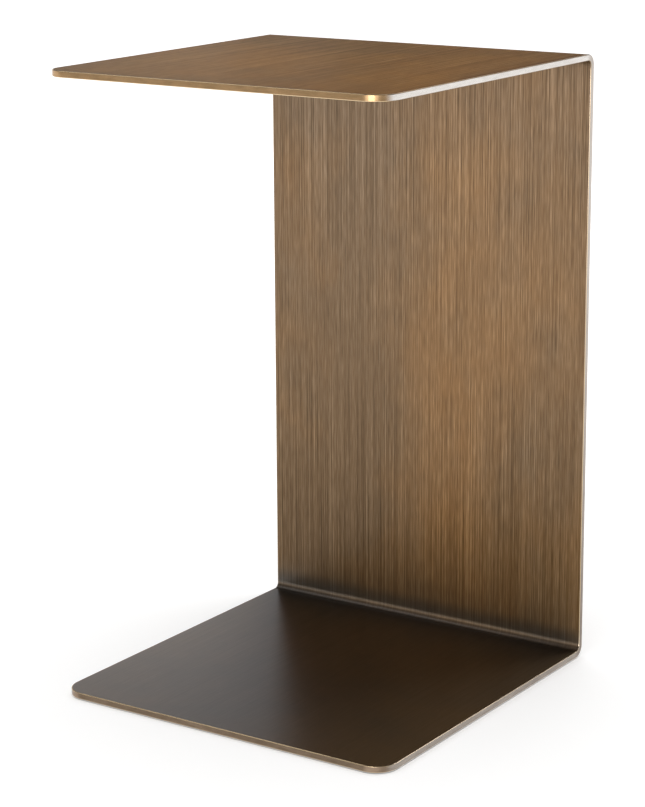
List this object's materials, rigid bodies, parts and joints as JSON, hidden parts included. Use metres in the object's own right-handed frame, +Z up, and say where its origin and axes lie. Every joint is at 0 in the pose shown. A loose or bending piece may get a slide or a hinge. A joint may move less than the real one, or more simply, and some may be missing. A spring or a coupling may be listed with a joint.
{
  "type": "side table",
  "caption": "C-shaped side table folded from one thick brushed bronze-toned metal plate, with a base that slides under a sofa and thin felt pads beneath.",
  "frame": {"origin": "on the floor, under the centre of the table's bounding box", "axes": "+Z up; +Y towards the upright at the back, so the top and base reach forward to -Y; +X to the right when facing the open side from the front"},
  "size_m": [0.36, 0.364, 0.5912],
  "materials": {
    "brushed_bronze": "steel plate brushed along its length and toned to an aged brass and bronze brown, satin",
    "felt": "pressed dark felt",
    "adhesive": "thin double-sided adhesive film"
  },
  "bodies": {
    "root": {"bent_plate": "brushed_bronze", "felt_pad_front_left": "felt", "felt_pad_front_right": "felt", "felt_pad_back_left": "felt", "felt_pad_back_right": "felt", "adhesive_disc_front_left": "adhesive", "adhesive_disc_front_right": "adhesive", "adhesive_disc_back_left": "adhesive", "adhesive_disc_back_right": "adhesive"}
  },
  "joints": []
}
